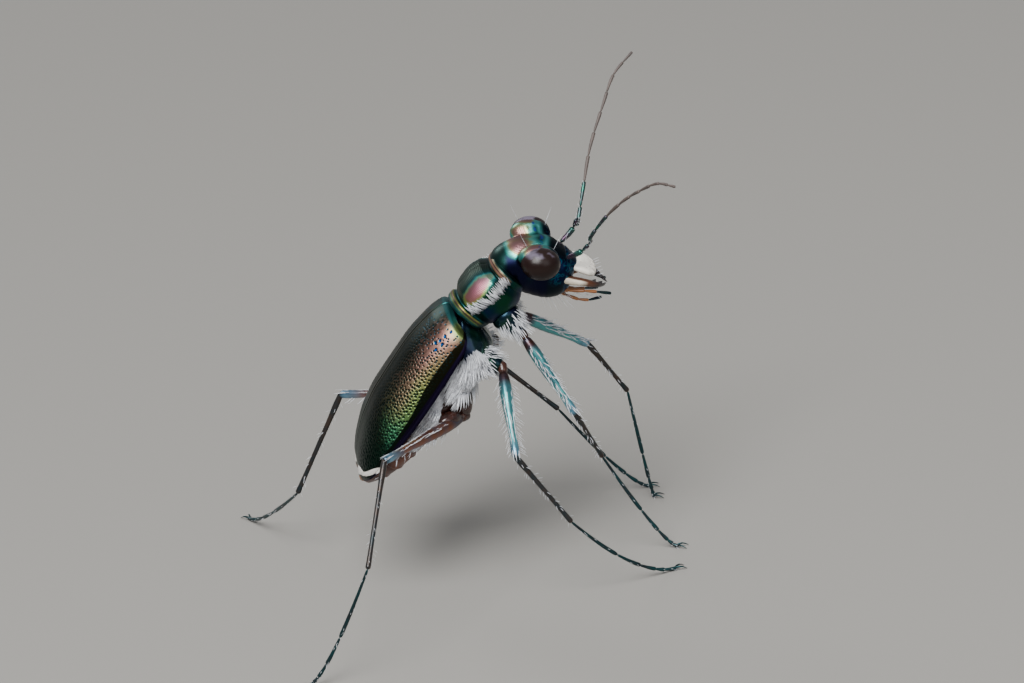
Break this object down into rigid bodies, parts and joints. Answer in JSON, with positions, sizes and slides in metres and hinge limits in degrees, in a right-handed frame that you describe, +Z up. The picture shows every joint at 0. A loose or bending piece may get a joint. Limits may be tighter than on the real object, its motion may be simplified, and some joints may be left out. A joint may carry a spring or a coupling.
{
  "type": "tiger beetle",
  "caption": "Small metallic ground beetle standing tall on long thin legs, with big eyes, ivory lip, curved jaws and raised feelers; a still, life-size model.",
  "frame": {"origin": "below the middle of the whole model, at the level of the floor under its feet", "axes": "+X the way the beetle faces, +Y its left, +Z up"},
  "size_m": [0.0126, 0.0116, 0.0121],
  "materials": {
    "elytra": "dark olive green with a copper-rose sheen along the sides, finely pitted",
    "cuticle": "glossy dark metallic green and blue",
    "bronze": "metallic green with a rose patch",
    "ivory": "smooth ivory",
    "eye": "glossy dark brown, finely faceted",
    "jaw": "amber to black, glossy",
    "abdomen": "satin red-brown",
    "leg": "metallic teal to bronze",
    "antenna": "metallic green at the base, dull grey-brown outwards"
  },
  "bodies": {
    "root": {"elytron_left": "elytra", "elytron_right": "elytra", "pterothorax": "cuticle", "abdomen": "abdomen", "prothorax": "bronze", "head": "cuticle", "labrum": "ivory", "eye_left": "eye", "eye_right": "eye", "mandible_left": "jaw", "mandible_right": "jaw", "palp_left": "jaw", "palp_right": "jaw", "antenna_left": "antenna", "antenna_right": "antenna", "leg_fore_left": "leg", "leg_fore_right": "leg", "leg_mid_left": "leg", "leg_mid_right": "leg", "leg_hind_left": "leg", "leg_hind_right": "leg"}
  },
  "joints": []
}
